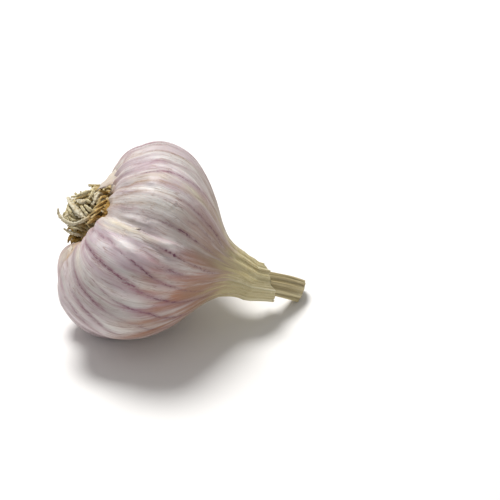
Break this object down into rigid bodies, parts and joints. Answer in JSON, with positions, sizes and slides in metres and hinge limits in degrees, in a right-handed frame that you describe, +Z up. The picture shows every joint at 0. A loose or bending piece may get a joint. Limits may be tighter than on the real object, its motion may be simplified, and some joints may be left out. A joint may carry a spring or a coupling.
{
  "type": "garlic bulb",
  "caption": "Whole garlic bulb lying on its side: lobed head in purple-streaked papery skin, dried neck and stalk, and a tangled tuft of dry roots.",
  "frame": {"origin": "under the middle of the bulb's box, on the surface it lies on", "axes": "+X from the root end to the neck, +Z up, -Y to the side with the open fold of skin"},
  "size_m": [0.0754, 0.0622, 0.0588],
  "materials": {
    "papery_skin": "dry satin skin, lilac grey with purple streaks, cream at the neck",
    "dry_root": "dry, matt, straw coloured, ochre at the base",
    "dry_stalk": "dry, matt, olive tan, ribbed lengthwise"
  },
  "bodies": {
    "root": {"bulb_head": "papery_skin", "root_tuft": "dry_root", "stalk": "dry_stalk"}
  },
  "joints": []
}
